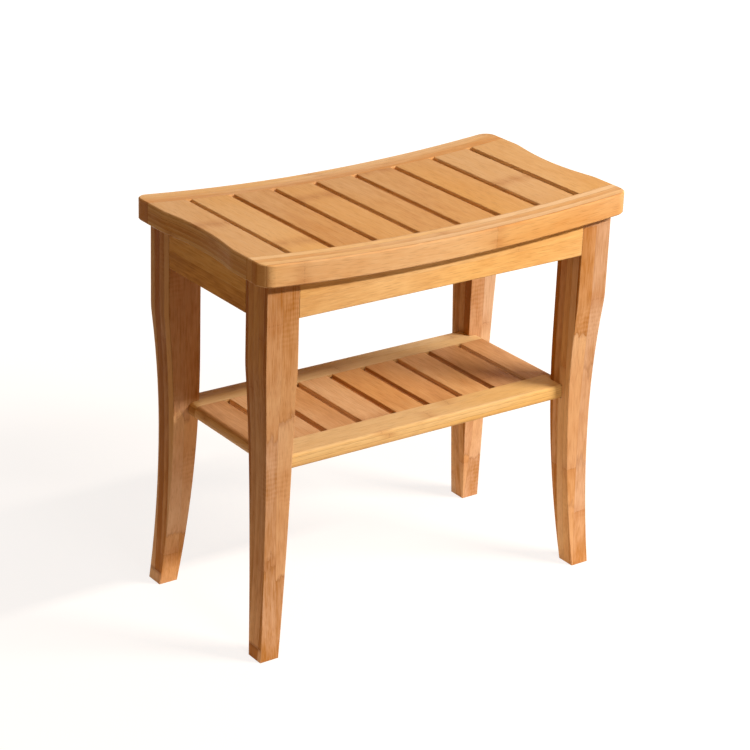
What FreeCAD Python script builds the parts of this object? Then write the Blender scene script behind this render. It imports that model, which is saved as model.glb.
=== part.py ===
import FreeCAD, Part
import math
import os
import re
import Sketcher

# Bamboo shower bench: a slatted seat that dips in the middle, four curved legs joined by aprons,
# and a slatted shelf notched round the legs.
# Millimetres, +Z up, feet on z = 0, origin under the middle of the seat, front towards -Y.

SIZES = [
    # Seat
    ("seat_length", 472, "overall length of the seat"),
    ("seat_depth", 252, "overall depth of the seat"),
    ("seat_height", 450, "height of the seat at its two ends"),
    ("seat_sag", 11, "dip of the seat in the middle of its length"),
    ("seat_rail_width", 30.4, "front and rear rails, front to back"),
    ("seat_rail_thick", 24, "rails and end slats, top to bottom"),
    ("seat_corner_round", 15, "rounded corner of the seat in plan"),
    ("seat_slat_thick", 16, "slats between the two end slats"),
    ("seat_slat_gap", 7, "open slot between slats"),
    ("seat_slat_count", 7, "slats between the two end slats"),
    ("seat_end_slat_width", 46.1, "end slat at its front and rear"),
    ("end_overhang", 13.5, "ends of the seat beyond the legs"),
    ("front_overhang", 12.5, "front and rear of the seat beyond the legs"),
    ("scallop_depth", 7, "hollow in the ends of the seat, in plan"),
    ("scallop_reach", 66, "half of the hollow's width, front to back"),
    ("scallop_blend", 60, "rounding where the hollow meets the straight end"),
    ("seat_edge_ease", 1.2, "eased outer edges of the seat"),
    ("slat_edge_round", 1, "eased long edges of the slats"),
    # Legs
    ("leg_width", 39, "square leg at the top"),
    ("foot_width", 23, "square foot on the floor"),
    ("foot_flare", 1.9, "foot beyond the top of the leg"),
    ("waist_inset", 5.9, "leg drawn in at its waist"),
    ("waist_height", 190, "height of the waist"),
    ("knee_height", 326, "height of the knee on the outer faces"),
    ("knee_round", 160, "rounding of the knee"),
    ("bend_height", 280, "height where the inner faces start to bend out"),
    ("leg_edge_ease", 0.5, "eased long edges of the legs"),
    # Aprons and their joints
    ("apron_thick", 16, "aprons between the legs"),
    ("apron_drop", 69, "lower edge of the aprons below the ends of the seat"),
    ("apron_edge_round", 1.5, "rounded lower edges of the aprons"),
    ("apron_tenon_thick", 7, "tenon of an apron"),
    ("apron_tenon_long", 16, "reach of an apron's tenon into the leg"),
    ("apron_tenon_cover", 10, "wood of the apron above its tenon"),
    ("apron_tenon_lift", 6, "tenon above the apron's lower edge"),
    # Slat joints, seat and shelf
    ("slat_tenon_thick", 7, "tenon of a slat"),
    ("slat_tenon_long", 10, "reach of a slat's tenon into the rail"),
    ("slat_tenon_shoulder", 7, "side of a slat beyond its tenon"),
    ("nose_shoulder", 11, "outer side of a shelf end slat beyond its tenon"),
    ("clearance", 0.2, "room left round tenons, dowels and screws"),
    # Shelf
    ("shelf_length", 397, "overall length of the shelf"),
    ("shelf_depth", 191, "overall depth of the shelf"),
    ("shelf_bottom", 206, "underside of the shelf above the floor"),
    ("shelf_thick", 16, "shelf, top to bottom"),
    ("shelf_rail_width", 34, "front and rear rails, front to back"),
    ("shelf_slat_gap", 7.5, "open slot between slats"),
    ("shelf_slat_count", 7, "slats between the two end slats"),
    ("shelf_end_slat_width", 36.9, "end slat with the rounded nose"),
    ("shelf_nose_flat", 1, "flat left in the middle of the rounded nose at the shelf's two ends"),
    ("shelf_edge_round", 3, "rounded front and rear edges of the shelf"),
    ("shelf_seat_depth", 4, "housing for the shelf, from the leg's upper inner face"),
    # Hidden blocks, dowels and screws
    ("dowel_diameter", 8, "dowel between leg and shelf rail"),
    ("dowel_length", 30, "dowel, half in the leg and half in the rail"),
    ("block_thick", 18, "corner block across the inner corner of the aprons"),
    ("block_high", 24, "height of a corner block"),
    ("block_lift", 5, "corner block above the aprons' lower edge"),
    ("block_gap", 1, "corner block clear of the leg"),
    ("screw_diameter", 4, "shank of a seat screw"),
    ("screw_head_diameter", 8, "head of a seat screw"),
    ("screw_head_high", 2.8, "height of a seat screw's head"),
    ("screw_tip", 3, "point of a seat screw"),
    ("screw_bore", 10, "bore for a seat screw's head"),
    ("screw_long", 35, "seat screw, up through a long apron into the seat rail"),
    ("screw_grip", 11, "reach of a seat screw into the rail"),
    ("screw_reach", 80, "seat screws to either side of the middle"),
]

# Lengths that follow from the sizes
DERIVED = {
    "frame_x": "seat_length/2 - end_overhang",
    "frame_y": "seat_depth/2 - front_overhang",
    "leg_in_x": "frame_x - leg_width",
    "leg_in_y": "frame_y - leg_width",
    "apron_in_x": "frame_x - apron_thick",
    "apron_in_y": "frame_y - apron_thick",
    "apron_mid_x": "frame_x - apron_thick/2",
    "apron_mid_y": "frame_y - apron_thick/2",
    "apron_bottom": "seat_height - apron_drop",
    "apron_top": "seat_centre - sqrt(under_radius^2 - leg_in_x^2)",
    "tenon_low": "apron_bottom + apron_tenon_lift",
    "tenon_high": "apron_top - apron_tenon_cover",
    "seat_radius": "((seat_length/2)^2 + seat_sag^2)/(2*seat_sag)",
    "seat_centre": "seat_height - seat_sag + seat_radius",
    "under_radius": "seat_radius + seat_rail_thick",
    "seat_in_y": "seat_depth/2 - seat_rail_width",
    "seat_slat_width": "(seat_length - 2*seat_end_slat_width - (seat_slat_count + 1)*seat_slat_gap)"
                       "/seat_slat_count",
    "seat_slat_step": "(seat_slat_width + seat_slat_gap)/seat_radius*180/pi",
    "seat_end_in": "seat_length/2 - seat_end_slat_width",
    "tenon_top_radius": "seat_radius + seat_slat_thick/2 - slat_tenon_thick/2",
    "tenon_under_radius": "tenon_top_radius + slat_tenon_thick",
    "waist_radius": "((knee_height - waist_height)^2 + waist_inset^2)/(2*waist_inset)",
    "flare_radius": "(waist_height^2 + (waist_inset + foot_flare)^2)/(2*(waist_inset + foot_flare))",
    "bend_shift": "leg_width - foot_width + foot_flare",
    "bend_radius": "(bend_height^2 + bend_shift^2)/(2*bend_shift)",
    # The knee's rounding touches the straight upper face and the curve that runs to the waist
    "knee_side": "waist_radius - waist_inset + knee_round",
    "knee_top": "waist_height + sqrt((waist_radius + knee_round)^2 - knee_side^2)",
    "knee_share": "waist_radius/(waist_radius + knee_round)",
    "knee_low": "waist_height + (knee_top - waist_height)*knee_share",
    "knee_low_inset": "waist_inset - waist_radius + knee_side*knee_share",
    "shelf_top": "shelf_bottom + shelf_thick",
    "shelf_nose_round": "(shelf_thick - shelf_nose_flat)/2",
    "shelf_mid": "shelf_bottom + shelf_thick/2",
    "shelf_in_y": "shelf_depth/2 - shelf_rail_width",
    "shelf_slat_width": "(shelf_length - 2*shelf_end_slat_width - (shelf_slat_count + 1)*shelf_slat_gap)"
                        "/shelf_slat_count",
    "shelf_slat_step": "shelf_slat_width + shelf_slat_gap",
    "shelf_end_in": "shelf_length/2 - shelf_end_slat_width",
    "shelf_seat_x": "leg_in_x + shelf_seat_depth",
    "shelf_bend": "bend_radius - sqrt(bend_radius^2 - (bend_height - shelf_top)^2)",
    "shelf_notch_y": "leg_in_y + shelf_bend - clearance",
    "dowel_y": "(shelf_depth/2 + shelf_notch_y)/2",
    "block_out": "leg_in_x + leg_in_y - block_gap",
    "block_in": "block_out - block_thick*sqrt(2)",
    "block_low": "apron_bottom + block_lift",
    "screw_end": "seat_centre - sqrt(under_radius^2 - screw_reach^2) + screw_grip",
    "screw_low": "screw_end - screw_long",
    "hole": "screw_diameter/2 + clearance",
}

doc = FreeCAD.newDocument("shower_bench")
sheet = doc.addObject("Spreadsheet::Sheet", "sizes")
for row, (alias, number, meaning) in enumerate(SIZES, start=1):
    sheet.set(f"A{row}", meaning)
    sheet.set(f"B{row}", str(number))
    sheet.setAlias(f"B{row}", alias)
doc.recompute()
ALIASES = {alias for alias, number, meaning in SIZES}


def formula(text):
    """Writes a length in terms of the sheet's cells alone."""
    def swap(match):
        word = match.group(0)
        if word in DERIVED:
            return f"({formula(DERIVED[word])})"
        return f"sizes.{word}" if word in ALIASES else word
    return re.sub(r"[a-z_][a-z_0-9]*", swap, text)


def value(text):
    """The number that a length has now."""
    return float(sheet.evalExpression(formula(text)))


def bind(thing, path, text):
    """Ties one property to the sheet."""
    thing.setExpression(path, formula(text))


def on_arc(radius, x):
    """Height of a curve about the seat's centre of curvature, at a distance along the seat."""
    return f"(seat_centre - sqrt(({radius})^2 - ({x})^2))"


def new_body(label):
    body = doc.addObject("PartDesign::Body", label)
    body.Label = label
    return body


def sketch_on(body, name, role, right="0", up="0", out="0", turn="0"):
    """A sketch on one of the body's own origin planes, moved within that plane's axes."""
    sketch = body.newObject("Sketcher::SketchObject", name)
    plane = next(item for item in body.Origin.OriginFeatures if item.Role == role)
    sketch.AttachmentSupport = [(plane, "")]
    sketch.MapMode = "FlatFace"
    rotation = FreeCAD.Rotation(FreeCAD.Vector(0, 0, 1), value(turn))
    shift = FreeCAD.Vector(value(right), value(up), value(out))
    sketch.AttachmentOffset = FreeCAD.Placement(shift, rotation)
    for axis, text in (("x", right), ("y", up), ("z", out)):
        bind(sketch, f"AttachmentOffset.Base.{axis}", text)
    if turn != "0":
        bind(sketch, "AttachmentOffset.Rotation.Angle", turn)
    return sketch


def hold(sketch, part, end, right, up):
    """Keeps one point of a sketch at named distances from the sketch's origin."""
    for kind, axis, text in (("DistanceX", -2, right), ("DistanceY", -1, up)):
        number = value(text)
        if abs(number) < 1e-9:
            sketch.addConstraint(Sketcher.Constraint("PointOnObject", part, end, axis))
        elif number > 0:
            index = sketch.addConstraint(Sketcher.Constraint(kind, -1, 1, part, end, number))
            bind(sketch, f"Constraints[{index}]", text)
        else:
            index = sketch.addConstraint(Sketcher.Constraint(kind, part, end, -1, 1, -number))
            bind(sketch, f"Constraints[{index}]", f"-({text})")


def outline(sketch, corners, arcs=None):
    """A closed profile through named corners. arcs gives, by the number of a side, the radius of
    a curved side, and 1 or -1 for a centre to the left or the right of the way round."""
    arcs = arcs or {}
    spots = [FreeCAD.Vector(value(x), value(y), 0) for x, y in corners]
    ends = []
    for side, start in enumerate(spots):
        stop = spots[(side + 1) % len(spots)]
        if side not in arcs:
            ends.append((sketch.addGeometry(Part.LineSegment(start, stop)), 1, 2))
            continue
        text, hand = arcs[side]
        radius = value(text)
        chord = stop - start
        normal = FreeCAD.Vector(-chord.y, chord.x, 0).normalize() * hand
        centre = (start + stop) * 0.5 + normal * math.sqrt(radius ** 2 - chord.Length ** 2 / 4)
        first, last = (start, stop) if hand > 0 else (stop, start)
        angles = [math.atan2(spot.y - centre.y, spot.x - centre.x) for spot in (first, last)]
        circle = Part.Circle(centre, FreeCAD.Vector(0, 0, 1), radius)
        index = sketch.addGeometry(Part.ArcOfCircle(circle, angles[0], angles[1]))
        ends.append((index, 1, 2) if hand > 0 else (index, 2, 1))
    for side, (part, begin, finish) in enumerate(ends):
        follower, first, second = ends[(side + 1) % len(ends)]
        sketch.addConstraint(Sketcher.Constraint("Coincident", part, finish, follower, first))
    for side, (part, begin, finish) in enumerate(ends):
        hold(sketch, part, begin, *corners[side])
        if side in arcs:
            index = sketch.addConstraint(Sketcher.Constraint("Radius", part, value(arcs[side][0])))
            bind(sketch, f"Constraints[{index}]", arcs[side][0])


def box(sketch, left, right, low, high):
    """A rectangle between named distances."""
    outline(sketch, [(left, low), (right, low), (right, high), (left, high)])


def arc_band(sketch, left, right, top_radius, under_radius):
    """A band between two curves about the seat's centre of curvature."""
    corners = [(x, on_arc(under_radius, x)) for x in (left, right)]
    corners += [(x, on_arc(top_radius, x)) for x in (right, left)]
    outline(sketch, corners, {0: (under_radius, 1), 2: (top_radius, -1)})


def ring(sketch, right, up, radius):
    """A circle at a named place."""
    circle = Part.Circle(FreeCAD.Vector(value(right), value(up), 0), FreeCAD.Vector(0, 0, 1), value(radius))
    part = sketch.addGeometry(circle)
    hold(sketch, part, 3, right, up)
    index = sketch.addConstraint(Sketcher.Constraint("Radius", part, value(radius)))
    bind(sketch, f"Constraints[{index}]", radius)


def pad(body, name, sketch, length, both_ways=False, backwards=False):
    feature = body.newObject("PartDesign::Pad", name)
    feature.Profile = sketch
    feature.SideType = "Symmetric" if both_ways else "One side"
    feature.Reversed = backwards
    bind(feature, "Length", length)
    doc.recompute()
    return feature


def pocket(body, name, sketch, depth, backwards=False):
    """A cut that must take wood away."""
    before = body.Shape.Volume
    feature = body.newObject("PartDesign::Pocket", name)
    feature.Profile = sketch
    feature.SideType = "One side"
    feature.Reversed = backwards
    bind(feature, "Length", depth)
    doc.recompute()
    if body.Shape.Volume > before - 1:
        raise RuntimeError(f"{body.Label}: {name} cuts nothing")
    return feature


def dressed(body, kind, name, path, size, wanted):
    """A fillet or chamfer on the edges of the body's last feature that a test picks."""
    base = body.Tip
    names = [f"Edge{number}" for number, edge in enumerate(base.Shape.Edges, start=1) if wanted(edge)]
    if not names:
        raise RuntimeError(f"{body.Label}: {name} finds no edge")
    feature = body.newObject(f"PartDesign::{kind}", name)
    feature.Base = (base, names)
    bind(feature, path, size)
    doc.recompute()
    return feature


def rounded(body, name, radius, wanted):
    return dressed(body, "Fillet", name, "Radius", radius, wanted)


def eased(body, name, size, wanted):
    return dressed(body, "Chamfer", name, "Size", size, wanted)


def near(one, other, room=0.05):
    return abs(one - other) < room


def mirrored(source, label, normal):
    """The opposite-hand piece, on the other side of the bench's middle."""
    copy = doc.addObject("Part::Mirroring", label)
    copy.Label = label
    copy.Source = source
    copy.Normal = normal
    doc.recompute()
    return copy


ACROSS = FreeCAD.Vector(1, 0, 0)
BACK = FreeCAD.Vector(0, 1, 0)
pieces = []


# Seat


def seat_rail(label):
    """The front rail: curved along the seat, with a mortise for each slat in its inner face."""
    body = new_body(label)
    half = "seat_length/2"
    profile = sketch_on(body, "rail_profile", "XZ_Plane", out="seat_depth/2")
    arc_band(profile, f"-{half}", half, "seat_radius", "under_radius")
    pad(body, "rail", profile, "seat_rail_width", backwards=True)
    front = -value("seat_depth/2")
    ends = value(half)
    rounded(body, "corners", "seat_corner_round", lambda edge: near(edge.CenterOfMass.y, front)
            and near(abs(edge.CenterOfMass.x), ends))
    inner = value("-seat_in_y")
    eased(body, "outer_edges", "seat_edge_ease", lambda edge: edge.CenterOfMass.y < inner - 1
          and edge.BoundBox.ZLength < value("seat_sag") + 1)
    slots = sketch_on(body, "slat_mortise", "XZ_Plane", up="seat_centre", out="seat_in_y",
                      turn="-(seat_slat_count - 1)/2*seat_slat_step")
    side = "(seat_slat_width/2 - slat_tenon_shoulder + clearance)"
    box(slots, f"-{side}", side, "-(tenon_under_radius + clearance)", "-(tenon_top_radius - clearance)")
    depth = "slat_tenon_long + clearance"
    mortise = pocket(body, "mortise", slots, depth, backwards=True)
    pattern = body.newObject("PartDesign::PolarPattern", "mortises")
    pattern.Originals = [mortise]
    pattern.Axis = (slots, ["N_Axis"])
    pattern.Mode = "Spacing"
    bind(pattern, "Offset", "seat_slat_step")
    bind(pattern, "Occurrences", "seat_slat_count")
    body.Tip = pattern
    doc.recompute()
    ends_sketch = sketch_on(body, "end_mortise", "XZ_Plane", out="seat_in_y")
    near_side = "(seat_end_in + slat_tenon_shoulder - clearance)"
    far_side = "(seat_length/2 - slat_tenon_shoulder + clearance)"
    for left, right in ((f"-{far_side}", f"-{near_side}"), (near_side, far_side)):
        arc_band(ends_sketch, left, right, "tenon_top_radius - clearance", "tenon_under_radius + clearance")
    pocket(body, "end_mortises", ends_sketch, depth, backwards=True)
    screws = sketch_on(body, "screw_holes", "XY_Plane", out="screw_end + clearance")
    for side in ("-screw_reach", "screw_reach"):
        ring(screws, side, "-apron_mid_y", "hole")
    pocket(body, "screw_pilots", screws, "screw_long")
    return body


def seat_slat(label, number):
    """A flat slat with a tenon at each end, turned to lie along the seat's curve."""
    body = new_body(label)
    top = "(seat_height - seat_sag)"
    wide = sketch_on(body, "slat_profile", "XZ_Plane")
    box(wide, "-seat_slat_width/2", "seat_slat_width/2", f"{top} - seat_slat_thick", top)
    pad(body, "slat", wide, "2*seat_in_y", both_ways=True)
    narrow = sketch_on(body, "tenon_profile", "XZ_Plane")
    side = "(seat_slat_width/2 - slat_tenon_shoulder)"
    middle = f"{top} - seat_slat_thick/2"
    box(narrow, f"-{side}", side, f"{middle} - slat_tenon_thick/2", f"{middle} + slat_tenon_thick/2")
    pad(body, "tenons", narrow, "2*seat_in_y + 2*slat_tenon_long", both_ways=True)
    long_side = value("seat_slat_width/2")
    rounded(body, "eased_edges", "slat_edge_round", lambda edge: near(abs(edge.CenterOfMass.x), long_side)
            and edge.BoundBox.YLength > value("seat_in_y"))
    turn = f"({abs(number)}*seat_slat_step)"
    hand = -1 if number > 0 else 1
    if number:
        body.Placement.Rotation = FreeCAD.Rotation(BACK * hand, value(turn))
        bind(body, "Placement.Rotation.Angle", turn)
    bind(body, "Placement.Base.x", f"{-hand}*seat_centre*sin({turn})")
    bind(body, "Placement.Base.z", f"seat_centre*(1 - cos({turn}))")
    doc.recompute()
    return body


def seat_end_slat(label):
    """The left end slat, as thick as the rails, with its outer edge hollowed in plan."""
    body = new_body(label)
    profile = sketch_on(body, "end_profile", "XZ_Plane")
    outer = "-seat_length/2"
    inner = "-seat_end_in"
    inner_low = "-seat_end_in*under_radius/seat_radius"
    outline(profile, [(outer, on_arc("under_radius", outer)), (inner_low, on_arc("under_radius", inner_low)),
                      (inner, on_arc("seat_radius", inner)), (outer, "seat_height")],
            {0: ("under_radius", 1), 2: ("seat_radius", -1)})
    pad(body, "end_slat", profile, "2*seat_in_y", both_ways=True)
    plan = sketch_on(body, "scallop_plan", "XY_Plane", out="seat_height + seat_rail_thick")
    reach = "scallop_reach"
    radius = "(scallop_reach^2 + scallop_depth^2)/(2*scallop_depth)"
    spare = f"{outer} - scallop_depth"
    outline(plan, [(outer, f"-{reach}"), (outer, reach), (spare, reach), (spare, f"-{reach}")], {0: (radius, 1)})
    pocket(body, "scallop", plan, "seat_rail_thick*4")
    corner_y = value(reach)
    rounded(body, "scallop_blends", "scallop_blend", lambda edge: near(abs(edge.CenterOfMass.y), corner_y)
            and near(edge.CenterOfMass.x, value(outer)))
    inside = value(f"{outer} + scallop_depth") + 1
    eased(body, "outer_edges", "seat_edge_ease", lambda edge: edge.CenterOfMass.x < inside
          and edge.BoundBox.ZLength < 3 and edge.BoundBox.YLength > 1)
    tenon = sketch_on(body, "tenon_profile", "XZ_Plane")
    arc_band(tenon, f"{outer} + slat_tenon_shoulder", f"{inner} - slat_tenon_shoulder",
             "tenon_top_radius", "tenon_under_radius")
    pad(body, "tenons", tenon, "2*seat_in_y + 2*slat_tenon_long", both_ways=True)
    return body


front_seat_rail = seat_rail("seat_front_rail")
pieces += [front_seat_rail, mirrored(front_seat_rail, "seat_rear_rail", BACK)]
seat_count = int(value("seat_slat_count"))
for index in range(seat_count):
    pieces.append(seat_slat(f"seat_slat_{index + 1}", index - (seat_count - 1) / 2))
left_seat_end = seat_end_slat("seat_left_end_slat")
pieces += [left_seat_end, mirrored(left_seat_end, "seat_right_end_slat", ACROSS)]


# Legs and aprons


def leg_curve(outer, inner_top):
    """Corners and curved sides of a leg's profile, from the top of its outer face down and round
    to the top of its inner face. outer is the plane of the outer face, and inwards is positive."""
    corners = [(outer, "knee_top"), (f"{outer} + knee_low_inset", "knee_low"),
               (f"{outer} + waist_inset", "waist_height"), (f"{outer} - foot_flare", "0"),
               (f"{outer} - foot_flare + foot_width", "0"), (f"{outer} + leg_width", "bend_height"),
               (f"{outer} + leg_width", inner_top)]
    arcs = {0: ("knee_round", 1), 1: ("waist_radius", -1), 2: ("flare_radius", -1), 4: ("bend_radius", 1)}
    return corners, arcs


def leg(label):
    """The front left leg: the same curve on its side and its front, mortises for two aprons,
    and a housing with a dowel hole for the shelf."""
    body = new_body(label)
    outer_x = "-frame_x"
    outer_y = "-frame_y"
    inner_x = "-leg_in_x"
    corners, arcs = leg_curve(outer_x, on_arc("under_radius", inner_x))
    corners = [(outer_x, on_arc("under_radius", outer_x))] + corners
    arcs = {side + 1: arc for side, arc in arcs.items()}
    arcs[len(corners) - 1] = ("under_radius", -1)
    front = sketch_on(body, "front_profile", "XZ_Plane", out="frame_y + foot_flare")
    outline(front, corners, arcs)
    pad(body, "leg", front, "leg_width + foot_flare", backwards=True)
    side = sketch_on(body, "side_waste", "YZ_Plane", out="-frame_x - foot_flare")
    corners, arcs = leg_curve(outer_y, "seat_height")
    spare = f"{outer_y} - foot_flare - leg_width"
    outline(side, [(outer_y, "seat_height")] + corners[:4] + [(spare, "0"), (spare, "seat_height")],
            {number + 1: arc for number, arc in arcs.items() if number < 3})
    beyond = f"{outer_y} + 2*leg_width"
    outline(side, corners[4:6] + [(beyond, "bend_height"), (beyond, "0")], {0: arcs[4]})
    pocket(body, "side_curve", side, "leg_width*2", backwards=True)
    eased(body, "long_edges", "leg_edge_ease", lambda edge: edge.BoundBox.ZLength > 5)
    low = "tenon_low - clearance"
    high = "tenon_high + clearance"
    half = "(apron_tenon_thick/2 + clearance)"
    depth = "apron_tenon_long + clearance"
    cut = sketch_on(body, "front_apron_mortise", "YZ_Plane", out=inner_x)
    box(cut, f"-apron_mid_y - {half}", f"-apron_mid_y + {half}", low, high)
    pocket(body, "front_mortise", cut, depth)
    cut = sketch_on(body, "side_apron_mortise", "XZ_Plane", out="leg_in_y")
    box(cut, f"-apron_mid_x - {half}", f"-apron_mid_x + {half}", low, high)
    pocket(body, "side_mortise", cut, depth, backwards=True)
    cut = sketch_on(body, "shelf_housing", "YZ_Plane", out="-shelf_seat_x")
    box(cut, "-shelf_depth/2 - clearance", "-leg_in_y + leg_width/2", "shelf_bottom", "shelf_top + clearance")
    pocket(body, "housing", cut, "leg_width", backwards=True)
    cut = sketch_on(body, "dowel_hole", "YZ_Plane", out="-shelf_seat_x")
    ring(cut, "-dowel_y", "shelf_mid", "dowel_diameter/2 + clearance/2")
    pocket(body, "dowel_bore", cut, "dowel_length/2")
    return body


def front_apron(label):
    """A long apron: straight below, its top curved to carry the seat rail."""
    body = new_body(label)
    half = "leg_in_x"
    profile = sketch_on(body, "apron_profile", "XZ_Plane", out="frame_y")
    outline(profile, [(f"-{half}", "apron_bottom"), (half, "apron_bottom"),
                      (half, on_arc("under_radius", half)), (f"-{half}", on_arc("under_radius", half))],
            {2: ("under_radius", -1)})
    pad(body, "apron", profile, "apron_thick", backwards=True)
    low = value("apron_bottom")
    rounded(body, "lower_edges", "apron_edge_round", lambda edge: near(edge.CenterOfMass.z, low)
            and edge.BoundBox.XLength > value("leg_in_x"))
    tenon = sketch_on(body, "tenon_profile", "XZ_Plane", out="apron_mid_y")
    for end in (f"-{half}", half):
        box(tenon, f"{end} - apron_tenon_long", f"{end} + apron_tenon_long", "tenon_low", "tenon_high")
    pad(body, "tenons", tenon, "apron_tenon_thick", both_ways=True)
    bores = sketch_on(body, "screw_head_bores", "XY_Plane", out="screw_low")
    holes = sketch_on(body, "screw_holes", "XY_Plane", out="screw_low")
    for across in ("-screw_reach", "screw_reach"):
        ring(bores, across, "-apron_mid_y", "screw_bore/2")
        ring(holes, across, "-apron_mid_y", "hole")
    pocket(body, "head_bores", bores, "apron_drop")
    pocket(body, "screw_passages", holes, "screw_long", backwards=True)
    return body


def side_apron(label):
    """The left apron, under the end slat."""
    body = new_body(label)
    profile = sketch_on(body, "apron_profile", "XZ_Plane")
    outer = "-frame_x"
    inner = "-apron_in_x"
    outline(profile, [(outer, "apron_bottom"), (inner, "apron_bottom"),
                      (inner, on_arc("under_radius", inner)), (outer, on_arc("under_radius", outer))],
            {2: ("under_radius", -1)})
    pad(body, "apron", profile, "2*leg_in_y", both_ways=True)
    low = value("apron_bottom")
    rounded(body, "lower_edges", "apron_edge_round", lambda edge: near(edge.CenterOfMass.z, low)
            and edge.BoundBox.YLength > value("leg_in_y"))
    tenon = sketch_on(body, "tenon_profile", "XZ_Plane")
    half = "apron_tenon_thick/2"
    box(tenon, f"-apron_mid_x - {half}", f"-apron_mid_x + {half}", "tenon_low", "tenon_high")
    pad(body, "tenons", tenon, "2*leg_in_y + 2*apron_tenon_long", both_ways=True)
    return body


def corner_block(label):
    """The front left corner block, glued across the corner, its ends cut to fit the two aprons."""
    body = new_body(label)
    plan = sketch_on(body, "block_plan", "XY_Plane", out="block_low")
    outline(plan, [("-apron_in_x", "-(block_in - apron_in_x)"), ("-apron_in_x", "-(block_out - apron_in_x)"),
                   ("-(block_out - apron_in_y)", "-apron_in_y"), ("-(block_in - apron_in_y)", "-apron_in_y")])
    pad(body, "block", plan, "block_high")
    return body


front_left_leg = leg("front_left_leg")
rear_left_leg = mirrored(front_left_leg, "rear_left_leg", BACK)
front_right_leg = mirrored(front_left_leg, "front_right_leg", ACROSS)
rear_right_leg = mirrored(rear_left_leg, "rear_right_leg", ACROSS)
pieces += [front_left_leg, front_right_leg, rear_left_leg, rear_right_leg]
near_apron = front_apron("front_apron")
pieces += [near_apron, mirrored(near_apron, "rear_apron", BACK)]
left_apron = side_apron("left_apron")
pieces += [left_apron, mirrored(left_apron, "right_apron", ACROSS)]
front_left_block = corner_block("front_left_corner_block")
rear_left_block = mirrored(front_left_block, "rear_left_corner_block", BACK)
front_right_block = mirrored(front_left_block, "front_right_corner_block", ACROSS)
rear_right_block = mirrored(rear_left_block, "rear_right_corner_block", ACROSS)
pieces += [front_left_block, front_right_block, rear_left_block, rear_right_block]


# Shelf


def shelf_rail(label):
    """The front shelf rail: rounded noses at its ends, notched to pass the legs' inner corners."""
    body = new_body(label)
    plan = sketch_on(body, "rail_plan", "XY_Plane", out="shelf_bottom")
    nose = "shelf_length/2"
    seat = "shelf_seat_x"
    outer = "-shelf_depth/2"
    notch = "-shelf_notch_y"
    inner = "-shelf_in_y"
    outline(plan, [(f"-{seat}", outer), (seat, outer), (seat, notch), (nose, notch),
                   (nose, inner), (f"-{nose}", inner), (f"-{nose}", notch), (f"-{seat}", notch)])
    pad(body, "rail", plan, "shelf_thick")
    end = value(nose)
    rounded(body, "noses", "shelf_nose_round", lambda edge: near(abs(edge.CenterOfMass.x), end)
            and edge.BoundBox.ZLength < 0.1)
    front = value(outer)
    rounded(body, "front_edges", "shelf_edge_round", lambda edge: near(edge.CenterOfMass.y, front)
            and edge.BoundBox.ZLength < 0.1)
    depth = "slat_tenon_long + clearance"
    low = "shelf_mid - slat_tenon_thick/2 - clearance"
    high = "shelf_mid + slat_tenon_thick/2 + clearance"
    slot = sketch_on(body, "slat_mortise", "XZ_Plane", out="shelf_in_y")
    side = "(shelf_slat_width/2 - slat_tenon_shoulder + clearance)"
    first = "-(shelf_slat_count - 1)/2*shelf_slat_step"
    box(slot, f"{first} - {side}", f"{first} + {side}", low, high)
    mortise = pocket(body, "mortise", slot, depth, backwards=True)
    pattern = body.newObject("PartDesign::LinearPattern", "mortises")
    pattern.Originals = [mortise]
    pattern.Direction = (slot, ["H_Axis"])
    pattern.Mode = "Spacing"
    bind(pattern, "Offset", "shelf_slat_step")
    bind(pattern, "Occurrences", "shelf_slat_count")
    body.Tip = pattern
    doc.recompute()
    ends = sketch_on(body, "end_mortise", "XZ_Plane", out="shelf_in_y")
    far = "(shelf_length/2 - nose_shoulder + clearance)"
    close = "(shelf_end_in + slat_tenon_shoulder - clearance)"
    box(ends, f"-{far}", f"-{close}", low, high)
    box(ends, close, far, low, high)
    pocket(body, "end_mortises", ends, depth, backwards=True)
    for name, place, turned in (("left", f"-{seat}", True), ("right", seat, False)):
        hole = sketch_on(body, f"{name}_dowel_hole", "YZ_Plane", out=place)
        ring(hole, "-dowel_y", "shelf_mid", "dowel_diameter/2 + clearance/2")
        pocket(body, f"{name}_dowel_bore", hole, "dowel_length/2 + clearance", backwards=turned)
    return body


def shelf_slat(label, number):
    """A flat slat with a tenon at each end."""
    body = new_body(label)
    wide = sketch_on(body, "slat_profile", "XZ_Plane")
    box(wide, "-shelf_slat_width/2", "shelf_slat_width/2", "shelf_bottom", "shelf_top")
    pad(body, "slat", wide, "2*shelf_in_y", both_ways=True)
    narrow = sketch_on(body, "tenon_profile", "XZ_Plane")
    side = "(shelf_slat_width/2 - slat_tenon_shoulder)"
    box(narrow, f"-{side}", side, "shelf_mid - slat_tenon_thick/2", "shelf_mid + slat_tenon_thick/2")
    pad(body, "tenons", narrow, "2*shelf_in_y + 2*slat_tenon_long", both_ways=True)
    long_side = value("shelf_slat_width/2")
    rounded(body, "eased_edges", "slat_edge_round", lambda edge: near(abs(edge.CenterOfMass.x), long_side)
            and edge.BoundBox.YLength > value("shelf_in_y"))
    bind(body, "Placement.Base.x", f"{number}*shelf_slat_step")
    doc.recompute()
    return body


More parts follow.
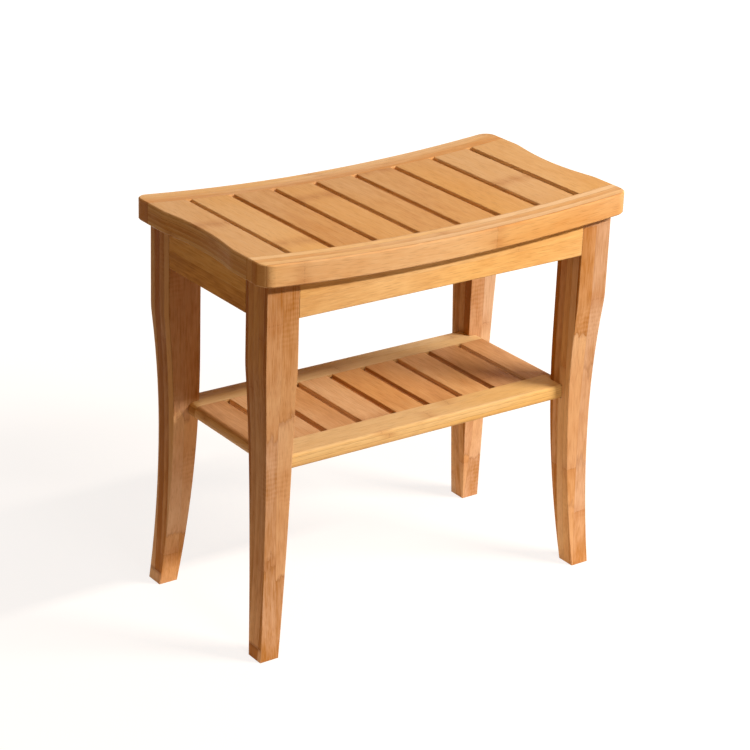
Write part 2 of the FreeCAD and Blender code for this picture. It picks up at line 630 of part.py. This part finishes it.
def shelf_end_slat(label):
    """The left end slat, with a rounded nose along its outer side."""
    body = new_body(label)
    wide = sketch_on(body, "end_profile", "XZ_Plane")
    box(wide, "-shelf_length/2", "-shelf_end_in", "shelf_bottom", "shelf_top")
    pad(body, "end_slat", wide, "2*shelf_in_y", both_ways=True)
    end = value("-shelf_length/2")
    rounded(body, "nose", "shelf_nose_round", lambda edge: near(edge.CenterOfMass.x, end)
            and edge.BoundBox.YLength > value("shelf_in_y"))
    narrow = sketch_on(body, "tenon_profile", "XZ_Plane")
    box(narrow, "-shelf_length/2 + nose_shoulder", "-shelf_end_in - slat_tenon_shoulder",
        "shelf_mid - slat_tenon_thick/2", "shelf_mid + slat_tenon_thick/2")
    pad(body, "tenons", narrow, "2*shelf_in_y + 2*slat_tenon_long", both_ways=True)
    return body


front_shelf_rail = shelf_rail("shelf_front_rail")
pieces += [front_shelf_rail, mirrored(front_shelf_rail, "shelf_rear_rail", BACK)]
shelf_count = int(value("shelf_slat_count"))
for index in range(shelf_count):
    pieces.append(shelf_slat(f"shelf_slat_{index + 1}", index - (shelf_count - 1) / 2))
left_shelf_end = shelf_end_slat("shelf_left_end_slat")
pieces += [left_shelf_end, mirrored(left_shelf_end, "shelf_right_end_slat", ACROSS)]


# Dowels and screws


def group(label, members):
    """Identical fasteners kept together as one set of separate solids."""
    bundle = doc.addObject("Part::Compound", label)
    bundle.Label = label
    bundle.Links = members
    doc.recompute()
    return bundle


def place(thing, x, y, z, axis=None):
    """Puts a fastener at a named spot, pointing along an axis instead of up."""
    if axis is not None:
        thing.Placement.Rotation = FreeCAD.Rotation(FreeCAD.Vector(0, 0, 1), axis)
    for name, text in (("x", x), ("y", y), ("z", z)):
        bind(thing, f"Placement.Base.{name}", text)
    return thing


def dowel(name, across, along):
    peg = doc.addObject("Part::Cylinder", name)
    bind(peg, "Radius", "dowel_diameter/2")
    bind(peg, "Height", "dowel_length")
    return place(peg, f"{across}*shelf_seat_x - dowel_length/2", f"{along}*dowel_y", "shelf_mid",
                 FreeCAD.Vector(1, 0, 0))


def screw(name):
    """A flat-headed wood screw: its head's underside at the origin, its point upwards."""
    body = new_body(name)
    half = sketch_on(body, "screw_profile", "XZ_Plane")
    outline(half, [("0", "-screw_head_high"), ("screw_head_diameter/2", "-screw_head_high"),
                   ("screw_head_diameter/2", "0"), ("screw_diameter/2", "0"),
                   ("screw_diameter/2", "screw_long - screw_tip"), ("0", "screw_long")])
    turned = body.newObject("PartDesign::Revolution", "turned")
    turned.Profile = half
    turned.ReferenceAxis = (half, ["V_Axis"])
    turned.Angle = 360
    doc.recompute()
    return body


CORNERS = [("front_left", -1, -1), ("front_right", 1, -1), ("rear_left", -1, 1), ("rear_right", 1, 1)]
dowels = [dowel(f"{name}_dowel", across, along) for name, across, along in CORNERS]
pieces.append(group("shelf_dowels", dowels))
seat_screws = []
for name, across, along in CORNERS:
    seat_screw = screw(f"{name}_screw")
    seat_screws.append(place(seat_screw, f"{across}*screw_reach", f"{along}*apron_mid_y", "screw_low"))
pieces.append(group("seat_screws", seat_screws))


# Files


doc.recompute()
for item in doc.Objects:
    if "Invalid" in item.State or "Error" in item.State:
        raise RuntimeError(f"{item.Label}: {item.State}")
for piece in pieces:
    if piece.Shape.isNull() or not piece.Shape.isValid():
        raise RuntimeError(f"{piece.Label}: shape is not valid")
os.makedirs("parts", exist_ok=True)
for piece in pieces:
    piece.Shape.exportStep(f"parts/{piece.Label}.step")
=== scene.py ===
import math
import bpy
from mathutils import Matrix, Vector

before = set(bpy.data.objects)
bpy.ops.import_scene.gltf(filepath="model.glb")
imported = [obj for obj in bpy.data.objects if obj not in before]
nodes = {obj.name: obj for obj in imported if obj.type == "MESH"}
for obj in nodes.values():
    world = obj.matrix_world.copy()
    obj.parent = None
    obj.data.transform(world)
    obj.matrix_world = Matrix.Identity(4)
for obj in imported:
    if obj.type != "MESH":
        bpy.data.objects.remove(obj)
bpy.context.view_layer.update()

# Bamboo shower bench on a white studio floor. Metres, +Z up, front towards -Y.
# The wood is laminated bamboo: strips 17 to 60 mm wide, glued in layers 5 to 10 mm thick.
# The pattern is a solid one, in millimetres of the bench's own frame, so a curved face cuts
# through the layers as a real one does.


# Small tools

def linear(text):
    """Linear colour of an sRGB hex colour."""
    parts = [int(text[place:place + 2], 16) / 255 for place in (1, 3, 5)]
    light = [part / 12.92 if part <= 0.04045 else ((part + 0.055) / 1.055) ** 2.4 for part in parts]
    return (*light, 1.0)


def node(tree, kind, sockets=None, **settings):
    """Adds a node, with its settings, and each socket set to a value or linked to another socket."""
    made = tree.nodes.new(kind)
    for name, setting in settings.items():
        setattr(made, name, setting)
    for key, given in (sockets or {}).items():
        if isinstance(given, bpy.types.NodeSocket):
            tree.links.new(given, made.inputs[key])
        else:
            made.inputs[key].default_value = given
    return made


def calc(tree, operation, *values):
    """Arithmetic on sockets and numbers."""
    return node(tree, "ShaderNodeMath", dict(enumerate(values)), operation=operation).outputs[0]


def ease(tree, value, start, stop, low=0.0, high=1.0):
    """A smooth change from low to high while the value goes from start to stop."""
    sockets = {"Value": value, "From Min": start, "From Max": stop, "To Min": low, "To Max": high}
    return node(tree, "ShaderNodeMapRange", sockets, interpolation_type="SMOOTHSTEP").outputs[0]


def spot(tree, x, y, z):
    """A point made of three sockets or numbers."""
    return node(tree, "ShaderNodeCombineXYZ", {"X": x, "Y": y, "Z": z}).outputs[0]


def cloud(tree, point, detail, rough=0.55):
    """Soft noise from 0 to 1 at a point."""
    sockets = {"Vector": point, "Scale": 1.0, "Detail": detail, "Roughness": rough}
    return node(tree, "ShaderNodeTexNoise", sockets, noise_dimensions="3D").outputs[0]


def lots(tree, x, y, z):
    """Chance numbers that belong to three whole numbers: a Value and a Color."""
    sockets = {"Vector": spot(tree, x, y, z)}
    return node(tree, "ShaderNodeTexWhiteNoise", sockets, noise_dimensions="3D").outputs


def scatter(tree, point, scale, randomness):
    """How far a point is from the nearest of many scattered ones."""
    sockets = {"Vector": point, "Scale": scale, "Randomness": randomness}
    return node(tree, "ShaderNodeTexVoronoi", sockets, feature="F1").outputs["Distance"]


def tint(tree, factor, one, other, how="MIX"):
    """Mixes two colours by a factor."""
    sockets = {0: factor, 6: one, 7: other}
    return node(tree, "ShaderNodeMix", sockets, data_type="RGBA", blend_type=how).outputs[2]


def empty_tree(owner):
    """The node tree of a material or world, without nodes."""
    owner.use_nodes = True
    owner.node_tree.nodes.clear()
    return owner.node_tree


def new_material(name):
    """An empty material and its shader."""
    material = bpy.data.materials.new(name)
    tree = empty_tree(material)
    shader = node(tree, "ShaderNodeBsdfPrincipled")
    node(tree, "ShaderNodeOutputMaterial", {"Surface": shader.outputs[0]})
    return material, tree, shader


# Bamboo

# In mm: a metre, the radius of the seat's arc, and the heights between which painted shade darkens a leg's
# foot
MM = 1000.0
SEAT_RADIUS = 2537.0
FOOT_SHADE_HEIGHTS = (225.0, 205.0)

DARK_FIBRE = linear("#8A5424")
RING = linear("#8C5426")
STAIN = linear("#B0703A")
GLUE = linear("#7A461C")
END_GRAIN = linear("#BC8C5C")
# Pale colour of edges: rubbed finish and a painted highlight
WEAR_AND_HIGHLIGHT_PALE = linear("#F3CE9C")
YELLOWER = (1.0, 1.07, 1.3, 1.0)
REDDER = (1.0, 0.92, 0.72, 1.0)

# Scales of the noises, per mm along the grain and per mm across it
WANDER = (0.05, 0.15)
BUNDLE = (0.045, 1.0)
STREAK = (0.03, 0.6)
MOTTLE = (0.035, 0.1)
DRIFT = (0.005, 0.015)
HUE = (0.004, 0.008)
RAGGED = (1.0, 0.7)
DOT = (0.4, 1.0)
SAW_PATCH = (0.012, 0.02)

# Layers: how much of a layer strips are shifted and wander, and a start that keeps the count above 0
STRIP_SHIFT, LAYER_WANDER, LAYER_COUNT = 0.3, 0.16, 90.4

# The third number of a strip's lot, and how far, in mm, a lot moves the fibres along the grain
STRIP_LOT, OWN_SHIFT = 5.0, 300.0

# Stem joints: the least lot that has one, mm that its line wanders, the distances, in mm, over which
# its line, flecks and stain fade, and how strong the flecks are
JOINT_LOT, JOINT_WANDER = 0.45, 6.0
LINE_REACH, FLECK_REACH, STAIN_REACH = (0.2, 1.2), (1.0, 8.0), (0.5, 18.0)
FLECK_SHARE = 0.8

# The distance, in mm, over which a glue line fades
GLUE_REACH = (0.04, 0.3)

# Saw marks: radians per mm, how much they wander, and their share of the tone
SAW_PITCH, SAW_WANDER, SAW_TONE = 1.15, 5.0, 0.1

# Shares of the tone: a lot's on a flat face and on the layers' edges, and the noises'
FLAT_LOT, EDGE_LOT = 0.45, 1.4
STREAK_TONE, MOTTLE_TONE, DRIFT_TONE = 0.75, 0.65, 0.7

# How much redder lengths of the stem and the layers' edges turn as they get deeper
STEPS_HUE, SIDES_HUE = 1.5, 2.0

# How strongly colours are laid over the wood
# The edges' pale colour is partly rubbed finish and partly a painted highlight
FLECK_COLOUR, EDGE_WEAR_AND_HIGHLIGHT = 0.28, 0.22
GLUE_COLOUR, END_COLOUR = (0.22, 0.45), (0.25, 0.6)

# Relief and lacquer. The edges' radius and the relief's depth are in metres
EDGE_ROUND = 0.0012
RELIEF, RELIEF_DEPTH = 0.35, 0.00035
STREAK_RELIEF, FLECK_RELIEF, JOINT_RELIEF, GLUE_RELIEF = 0.8, 0.35, 0.4, 0.7
ROUGHNESS, FLECK_ROUGHNESS = (0.38, 0.56), 0.2
LACQUER = 0.05


def bamboo(name, axes, strips, layers, colours, seed, ring_gap=240.0, ring_start=0.0, rings=0.35,
           stains=0.5, contrast=1.0, bands=0.3, sides=0.0, steps=0.0, foot=0.0, saw=0.0, bent=False):
    """Laminated bamboo. Gives the eye fine straight fibres, strips and layers that differ a little in tone,
    a thin broken line with flecks and a stain where a stem had a joint, and a satin lacquer.

    axes names the axis along the fibres, the one across a strip and the one across the layers.
    strips and layers give a thickness in mm, and where an edge of one of them lies.
    colours are pale, middle and deep, and seed picks the pattern.
    ring_gap and ring_start say how far apart, in mm, a stem's joints are and where they are counted from.
    rings, stains and saw are the strengths of the joints' lines, the joints' stains and the saw's marks.
    contrast is how much the tone varies, and bands how much it follows the layers.
    sides, steps and foot are how much deeper the layers' edges, lengths of the stem and a leg's foot are;
    foot paints shade.
    bent layers follow the seat's arc."""
    grain, width, stack = axes
    strip, strip_start = strips
    layer, layer_start = layers
    material, tree, shader = new_material(name)

    def plus(one, other):
        return calc(tree, "ADD", one, other)

    def minus(one, other):
        return calc(tree, "SUBTRACT", one, other)

    def times(one, other):
        return calc(tree, "MULTIPLY", one, other)

    coords = node(tree, "ShaderNodeTexCoord")
    metres = node(tree, "ShaderNodeSeparateXYZ", {"Vector": coords.outputs["Object"]})
    axis = {key: times(metres.outputs[place], MM) for place, key in enumerate("XYZ")}
    if bent:
        rise = calc(tree, "DIVIDE", times(axis["X"], axis["X"]), 2 * SEAT_RADIUS)
        axis["Z"] = minus(axis["Z"], rise)
    along, across, through = axis[grain], axis[width], axis[stack]

    def stretched(start, scales):
        """A point with its place along the grain, start, and its other two places scaled."""
        run, side = scales
        return spot(tree, times(start, run), times(across, side), times(through, side))

    def edge_distance(part, size):
        """Distance in mm from the nearer edge of a strip or layer."""
        return times(calc(tree, "MINIMUM", part, minus(1.0, part)), size)

    # Strips and layers, each with its own chance numbers
    strip_place = calc(tree, "DIVIDE", minus(across, strip_start), strip)
    strip_number = calc(tree, "FLOOR", strip_place)
    in_strip = calc(tree, "FRACT", strip_place)
    strip_chance = lots(tree, strip_number, seed, STRIP_LOT)["Value"]
    wander = cloud(tree, stretched(along, WANDER), 2.0)
    depth = calc(tree, "DIVIDE", minus(through, layer_start), layer)
    depth = plus(depth, times(strip_chance, STRIP_SHIFT))
    depth = plus(plus(depth, times(wander, LAYER_WANDER)), LAYER_COUNT)
    layer_number = calc(tree, "FLOOR", depth)
    in_layer = calc(tree, "FRACT", depth)
    swell = times(calc(tree, "PINGPONG", plus(depth, 0.25), 0.5), 2.0)
    lot = lots(tree, strip_number, layer_number, seed)
    chance = lot["Value"]
    chances = node(tree, "ShaderNodeSeparateColor", {"Color": lot["Color"]})
    shift = times(chance, OWN_SHIFT)
    own = plus(along, shift)

    # Faces that show the layers' edges
    facing = node(tree, "ShaderNodeSeparateXYZ", {"Vector": coords.outputs["Normal"]})
    edge_on = ease(tree, calc(tree, "ABSOLUTE", facing.outputs["XYZ".index(width)]), 0.4, 0.9)

    # Fibre bundles run along the grain, so a slanting cut shows them as short dashes
    fleck = ease(tree, scatter(tree, stretched(own, BUNDLE), 1.05, 0.9), 0.12, 0.42, 1.0, 0.0)
    streak = cloud(tree, stretched(own, STREAK), 4.0, 0.62)
    mottle = cloud(tree, stretched(own, MOTTLE), 3.0)
    drift = cloud(tree, stretched(own, DRIFT), 1.0)
    hue = ease(tree, cloud(tree, stretched(plus(own, seed), HUE), 0.0), 0.35, 0.65)
    hue = times(plus(hue, strip_chance), 0.5)

    # Joints of the stem, and the lengths between them
    ragged = times(minus(cloud(tree, stretched(shift, RAGGED), 4.0, 0.75), 0.5), JOINT_WANDER)
    stem = plus(minus(along, ring_start), ragged)
    stem = plus(calc(tree, "DIVIDE", stem, ring_gap), chances.outputs[1])
    away = calc(tree, "ABSOLUTE", times(minus(calc(tree, "FRACT", stem), 0.5), ring_gap))
    there = calc(tree, "GREATER_THAN", chances.outputs[2], JOINT_LOT)
    length = lots(tree, calc(tree, "FLOOR", plus(stem, 0.5)), strip_number, seed)["Value"]
    length = times(minus(length, 0.5), there)
    dots = scatter(tree, stretched(own, DOT), 0.9, 1.0)
    ring = times(ease(tree, away, *LINE_REACH, 1.0, 0.0), ease(tree, streak, 0.38, 0.6))
    beside = times(ease(tree, away, *FLECK_REACH, FLECK_SHARE, 0.0), ease(tree, dots, 0.16, 0.34, 1.0, 0.0))
    ring = times(calc(tree, "MAXIMUM", ring, beside), there)
    stain = times(times(ease(tree, away, *STAIN_REACH, 1.0, 0.0), there), mottle)

    # Glue lines between layers and between strips
    seam = calc(tree, "MINIMUM", edge_distance(in_layer, layer), edge_distance(in_strip, strip))
    glue = ease(tree, seam, *GLUE_REACH, 1.0, 0.0)

    # Marks left across the grain by a saw, in patches
    wave = calc(tree, "SINE", plus(times(along, SAW_PITCH), times(wander, SAW_WANDER)))
    patch = ease(tree, cloud(tree, stretched(along, SAW_PATCH), 1.0), 0.55, 0.7)
    wave = times(times(wave, patch), saw)

    # Tone of the wood, which varies more where a face shows the layers' edges
    spread = ease(tree, edge_on, 0.0, 1.0, FLAT_LOT * contrast, EDGE_LOT * contrast)
    tone = times(minus(chance, 0.5), spread)
    for part, weight in ((swell, bands), (streak, STREAK_TONE * contrast), (mottle, MOTTLE_TONE * contrast),
                         (drift, DRIFT_TONE * contrast)):
        tone = plus(tone, times(minus(part, 0.5), weight))
    tone = plus(plus(tone, times(wave, SAW_TONE)), 0.5)
    tone = plus(tone, times(length, steps))
    # Faces across the layers turn deeper when sides is above 0 and paler below it: painted shade on the
    # shelf rail's front and back, painted light on the seat slats' side faces and the shelf's nose
    tone = plus(tone, times(edge_on, sides))
    # Painted shade: a leg's front and back turn darker below the shelf
    tone = plus(tone, times(ease(tree, axis["Z"], *FOOT_SHADE_HEIGHTS, 0.0, foot), minus(1.0, edge_on)))
    hue = plus(hue, times(length, STEPS_HUE * steps))
    hue = plus(hue, times(edge_on, SIDES_HUE * sides))
    ramp = node(tree, "ShaderNodeValToRGB", {"Fac": tone})
    pale, middle, deep = (linear(colour) for colour in colours)
    ramp.color_ramp.elements[0].color = pale
    ramp.color_ramp.elements[1].color = deep
    ramp.color_ramp.elements.new(0.5).color = middle
    colour = tint(tree, 1.0, ramp.outputs["Color"], tint(tree, hue, YELLOWER, REDDER), "MULTIPLY")
    colour = tint(tree, times(fleck, FLECK_COLOUR), colour, DARK_FIBRE)
    colour = tint(tree, times(stain, stains), colour, STAIN)
    colour = tint(tree, times(ring, rings), colour, RING)
    colour = tint(tree, times(glue, ease(tree, edge_on, 0.0, 1.0, *GLUE_COLOUR)), colour, GLUE)

    # Cut ends show the bundles as dots and take up more finish
    end = ease(tree, calc(tree, "ABSOLUTE", facing.outputs["XYZ".index(grain)]), 0.35, 0.85)
    end = times(end, ease(tree, chance, 0.0, 1.0, *END_COLOUR))
    colour = tint(tree, end, colour, END_GRAIN, "MULTIPLY")

    # Softly rounded edges, a little paler: finish rubbed by hands and cloths, and a painted highlight along
    # each edge
    soft = node(tree, "ShaderNodeBevel", {"Radius": EDGE_ROUND}, samples=4)
    normals = {0: soft.outputs[0], 1: node(tree, "ShaderNodeNewGeometry").outputs["Normal"]}
    match = node(tree, "ShaderNodeVectorMath", normals, operation="DOT_PRODUCT")
    edge_wear_and_highlight = ease(tree, match.outputs["Value"], 0.995, 0.86)
    colour = tint(tree, times(edge_wear_and_highlight, EDGE_WEAR_AND_HIGHLIGHT), colour, WEAR_AND_HIGHLIGHT_PALE)

    # Relief of the fibres, joints and glue lines, under a satin lacquer
    height = minus(times(streak, STREAK_RELIEF), times(fleck, FLECK_RELIEF))
    height = plus(height, times(plus(ring, wave), JOINT_RELIEF))
    height = minus(height, times(glue, GLUE_RELIEF))
    relief = {"Height": height, "Strength": RELIEF, "Distance": RELIEF_DEPTH, "Normal": soft.outputs[0]}
    bump = node(tree, "ShaderNodeBump", relief)
    rough = ease(tree, plus(streak, times(fleck, FLECK_ROUGHNESS)), 0.25, 0.85, *ROUGHNESS)
    tree.links.new(colour, shader.inputs["Base Color"])
    tree.links.new(rough, shader.inputs["Roughness"])
    tree.links.new(bump.outputs[0], shader.inputs["Normal"])
    shader.inputs["Specular IOR Level"].default_value = LACQUER
    return material


# Scale of the zinc's spangle, per metre
SPANGLE = 900.0


def zinc_steel(name):
    """Zinc-plated screws. Gives the eye grey metal with a faint cloudy spangle."""
    material, tree, shader = new_material(name)
    coords = node(tree, "ShaderNodeTexCoord")
    sockets = {0: coords.outputs["Object"], "Scale": SPANGLE}
    spangle = cloud(tree, node(tree, "ShaderNodeVectorMath", sockets, operation="SCALE").outputs[0], 3.0)
    tree.links.new(tint(tree, spangle, linear("#A7A49C"), linear("#C9C6BE")), shader.inputs["Base Color"])
    tree.links.new(ease(tree, spangle, 0.2, 0.8, 0.28, 0.45), shader.inputs["Roughness"])
    shader.inputs["Metallic"].default_value = 1.0
    return material


# One material for each of the bench's kinds of piece
# The shelf's slats and end slats are cut from the same boards
SHELF_SLAT = ("YXZ", (45.1, 22.55), (5.33, 222.0), ("#E3B984", "#D19F69", "#B07D4A"), 1778)
MATERIALS = {
    # Planed strips bent to the seat's arc: long pale fibres, and a joint of the stem here and there
    "seat_rail": bamboo("laminated_bamboo_seat_rail", "XZY", (60.0, 400.0), (8.6, -126.0),
                        ("#EECB98", "#E4BB85", "#D49B5E"), 2017, ring_gap=242.0, ring_start=-75.0,
                        rings=0.25, contrast=0.75, bands=0.2, steps=-0.6, bent=True),
    # Planed slats with their layers lying flat: broad even faces with soft bands and stains, and side
    # faces, the slots' walls among them, painted paler as light bouncing into the slots
    "seat_slat": bamboo("laminated_bamboo_seat_slat", "YXZ", (53.26, 26.63), (5.33, 439.0),
                        ("#E2B980", "#D7A76A", "#C48B4D"), 1862, rings=0.25, stains=0.7, contrast=0.8,
                        bands=0.5, sides=-0.3, bent=True),
    # Planed boards of two strips: the palest wood, with long straight fibres
    "long_apron": bamboo("laminated_bamboo_long_apron", "XZY", (21.0, 381.0), (5.33, -113.5),
                         ("#F3CF92", "#EBC180", "#D49F5E"), 3303, ring_gap=300.0),
    # The same boards across the ends: golden and streaky, their palette deeper and more golden than the
    # long aprons' as painted shade
    "side_apron": bamboo("laminated_bamboo_side_apron", "YZX", (21.0, 381.0), (5.33, -222.5),
                         ("#EEC47E", "#DDAC63", "#BB863C"), 19, contrast=1.8),
    # Narrow strips side by side: fine parallel lines on top and thin layers along the front, with painted
    # shade deepening the front and back
    "shelf_rail": bamboo("laminated_bamboo_shelf_rail", "XYZ", (17.0, 61.5), (5.33, 222.0),
                         ("#EACE9A", "#DFBD85", "#C59A60"), 1772, ring_gap=300.0, contrast=0.6, bands=0.25,
                         sides=0.12),
    # Planed slats, a little browner than the seat's
    "shelf_slat": bamboo("laminated_bamboo_shelf_slat", *SHELF_SLAT, stains=0.7, bands=0.5),
    # The same slats with a rounded nose, whose faces across the layers are painted paler: pale edges of
    # layers, and a painted highlight
    "shelf_end": bamboo("laminated_bamboo_shelf_end_slat", *SHELF_SLAT, stains=0.7, bands=0.5, sides=-0.8),
    # Sawn blocks: the brownest wood, a palette darkened as painted shade under the seat
    "block": bamboo("laminated_bamboo_corner_block", "XYZ", (20.0, 0.0), (6.0, 410.0),
                    ("#D9A877", "#C6905B", "#A06D3E"), 31),
    # Turned from one strip: plain wood with its fibres along the dowel
    "dowel": bamboo("turned_bamboo_dowel", "XYZ", (20.0, 0.0), (20.0, 222.0),
                    ("#E0B98A", "#D0A06C", "#B58250"), 37),
    # Rolled and plated: dull grey metal at the bottom of the aprons' bores
    "screw": zinc_steel("zinc_plated_steel_screw"),
}

# Sawn legs, browner than the rest, with clear strips, stem joints and faint saw marks. Each comes from its
# own stem: its seed, how much the lengths between the stem's joints differ, and how much painted shade
# darkens its front and back below the shelf
LEGS = {
    "front_left_leg": (3721, 0.05, 0.18),
    "front_right_leg": (2449, 0.45, 0.0),
    "rear_left_leg": (3509, 0.4, 0.0),
    "rear_right_leg": (3138, 0.4, 0.0),
}
for leg, (seed, steps, foot) in LEGS.items():
    MATERIALS[leg] = bamboo(f"laminated_bamboo_{leg}", "ZXY", (20.3, -203.0), (9.75, -113.5),
                            ("#DAB387", "#CC9E72", "#AA7132"), seed, ring_gap=260.0, contrast=1.1,
                            sides=0.15, steps=steps, foot=foot, saw=0.6)

# The first words found in a piece's name give its kind
KINDS = [
    ("seat_screws", "screw"), ("shelf_dowels", "dowel"), ("corner_block", "block"),
    ("front_apron", "long_apron"), ("rear_apron", "long_apron"), ("apron", "side_apron"),
    ("seat_front_rail", "seat_rail"), ("seat_rear_rail", "seat_rail"), ("seat_", "seat_slat"),
    ("shelf_front_rail", "shelf_rail"), ("shelf_rear_rail", "shelf_rail"), ("shelf_slat", "shelf_slat"),
    ("shelf_", "shelf_end"),
]

for name, piece in nodes.items():
    kind = name if name in LEGS else next(kind for word, kind in KINDS if word in name)
    piece.data.materials.clear()
    piece.data.materials.append(MATERIALS[kind])


# Studio

WHITE = linear("#FFFFFF")

# The floor: metres from its middle to a side, the grey that takes the shadow, and the paper that
# lights the bench, near it and far off
FLOOR_REACH = 12.0
FLOOR_SHADE = (0.3, 0.3, 0.3, 1.0)
PAPER_NEAR, PAPER_FAR = (0.9, 0.9, 0.9, 1.0), (0.12, 0.09, 0.06, 1.0)

# Warm light from all round
ROOM_COLOUR, ROOM_STRENGTH = (1.0, 0.48, 0.08, 1.0), 0.22

# The photograph's camera: its angles, given in degrees, focal length and sensor in mm, and place in metres
AZIMUTH, HEIGHT, ROLL = (math.radians(angle) for angle in (-36.144, 22.743, 2.124))
FOCAL, SENSOR = 113.26, 36.0
CAMERA_PLACE = (-1.41642, -1.93315, 1.24384)
CAMERA_FAR = 50.0


def seen_directly(tree):
    """1 for what the camera sees, itself or mirrored, and 0 for what only lights other things."""
    light = node(tree, "ShaderNodeLightPath")
    mirrored = calc(tree, "MAXIMUM", light.outputs["Is Glossy Ray"], light.outputs["Is Transmission Ray"])
    return calc(tree, "MAXIMUM", light.outputs["Is Camera Ray"], mirrored)


def studio_floor():
    """A white floor: white to the camera, with the bench's faint shadow on it."""
    mesh = bpy.data.meshes.new("studio_floor")
    reach = FLOOR_REACH
    corners = [(-reach, -reach, 0), (reach, -reach, 0), (reach, reach, 0), (-reach, reach, 0)]
    mesh.from_pydata(corners, [], [(0, 1, 2, 3)])
    floor = bpy.data.objects.new("studio_floor", mesh)
    bpy.context.scene.collection.objects.link(floor)
    material = bpy.data.materials.new("white_paper_floor")
    tree = empty_tree(material)
    seen = seen_directly(tree)
    place = node(tree, "ShaderNodeTexCoord").outputs["Object"]
    out = node(tree, "ShaderNodeVectorMath", {0: place}, operation="LENGTH").outputs["Value"]

    # What the camera sees: white paper that glows, less so under the bench
    brightness = ease(tree, out, 0.3, 1.6, 0.82, 1.0)
    glow = node(tree, "ShaderNodeEmission", {"Color": WHITE, "Strength": brightness})
    shade = node(tree, "ShaderNodeBsdfDiffuse", {"Color": FLOOR_SHADE})
    white = node(tree, "ShaderNodeAddShader", {0: glow.outputs[0], 1: shade.outputs[0]})

    # What lights the bench from below: paper that is bright only near the feet
    paper = tint(tree, ease(tree, out, 0.3, 0.8), PAPER_NEAR, PAPER_FAR)
    sheet = node(tree, "ShaderNodeBsdfDiffuse", {"Color": paper})
    strength = ease(tree, out, 0.2, 0.5, 0.3, 0.0)
    lift = node(tree, "ShaderNodeEmission", {"Color": WHITE, "Strength": strength})
    bounce = node(tree, "ShaderNodeAddShader", {0: sheet.outputs[0], 1: lift.outputs[0]})
    both = node(tree, "ShaderNodeMixShader", {0: seen, 1: bounce.outputs[0], 2: white.outputs[0]})
    node(tree, "ShaderNodeOutputMaterial", {"Surface": both.outputs[0]})
    mesh.materials.append(material)


def studio_world():
    """White to the camera and in reflections, and a low warm light from all round."""
    world = bpy.data.worlds.new("studio_world")
    bpy.context.scene.world = world
    tree = empty_tree(world)
    seen = seen_directly(tree)
    room = node(tree, "ShaderNodeBackground", {"Color": ROOM_COLOUR, "Strength": ROOM_STRENGTH})
    white = node(tree, "ShaderNodeBackground", {"Color": WHITE, "Strength": 1.0})
    both = node(tree, "ShaderNodeMixShader", {0: seen, 1: room.outputs[0], 2: white.outputs[0]})
    node(tree, "ShaderNodeOutputWorld", {"Surface": both.outputs[0]})


def softbox(name, place, aim, width, height, watts, colour):
    """A soft light of a given width and height that faces a point."""
    lamp = bpy.data.lights.new(name, "AREA")
    lamp.shape = "RECTANGLE"
    lamp.size = width
    lamp.size_y = height
    lamp.energy = watts
    lamp.color = linear(colour)[:3]
    holder = bpy.data.objects.new(name, lamp)
    holder.location = place
    holder.rotation_euler = (Vector(aim) - Vector(place)).to_track_quat("-Z", "Y").to_euler()
    bpy.context.scene.collection.objects.link(holder)


def camera():
    """The photograph's view: from the front left and above, far off, with a slight roll."""
    flat = math.cos(HEIGHT)
    back = Vector((math.sin(AZIMUTH) * flat, -math.cos(AZIMUTH) * flat, math.sin(HEIGHT)))
    level = Vector((math.cos(AZIMUTH), math.sin(AZIMUTH), 0.0))
    upright = back.cross(level)
    right = level * math.cos(ROLL) + upright * math.sin(ROLL)
    up = upright * math.cos(ROLL) - level * math.sin(ROLL)
    lens = bpy.data.cameras.new("photo_camera")
    lens.sensor_width = SENSOR
    lens.lens = FOCAL
    lens.clip_end = CAMERA_FAR
    holder = bpy.data.objects.new("photo_camera", lens)
    turned = Matrix((right, up, back)).transposed().to_4x4()
    holder.matrix_world = Matrix.Translation(Vector(CAMERA_PLACE)) @ turned
    bpy.context.scene.collection.objects.link(holder)
    bpy.context.scene.camera = holder


studio_floor()
studio_world()
# The key light is a long strip parallel to the bench's front: the seat's edge throws a crisp shadow
# on the apron, and the legs throw soft ones.
softbox("key_light", (1.719, -1.548, 1.629), (1.719, 0.0, 0.35), 1.5, 0.12, 109.0, "#FFF0E0")
softbox("front_light", (-0.15, -1.6, 2.0), (0.0, 0.0, 0.3), 0.4, 0.4, 7.5, "#FFFFFF")
softbox("left_light", (-2.2, -0.2, 0.8), (0.0, 0.0, 0.3), 1.4, 1.4, 3.0, "#FFC75A")
softbox("top_light", (-0.3, -0.2, 2.2), (0.0, 0.0, 0.4), 1.2, 1.2, 3.0, "#FFFFFF")
camera()
bpy.context.scene.view_settings.view_transform = "Standard"
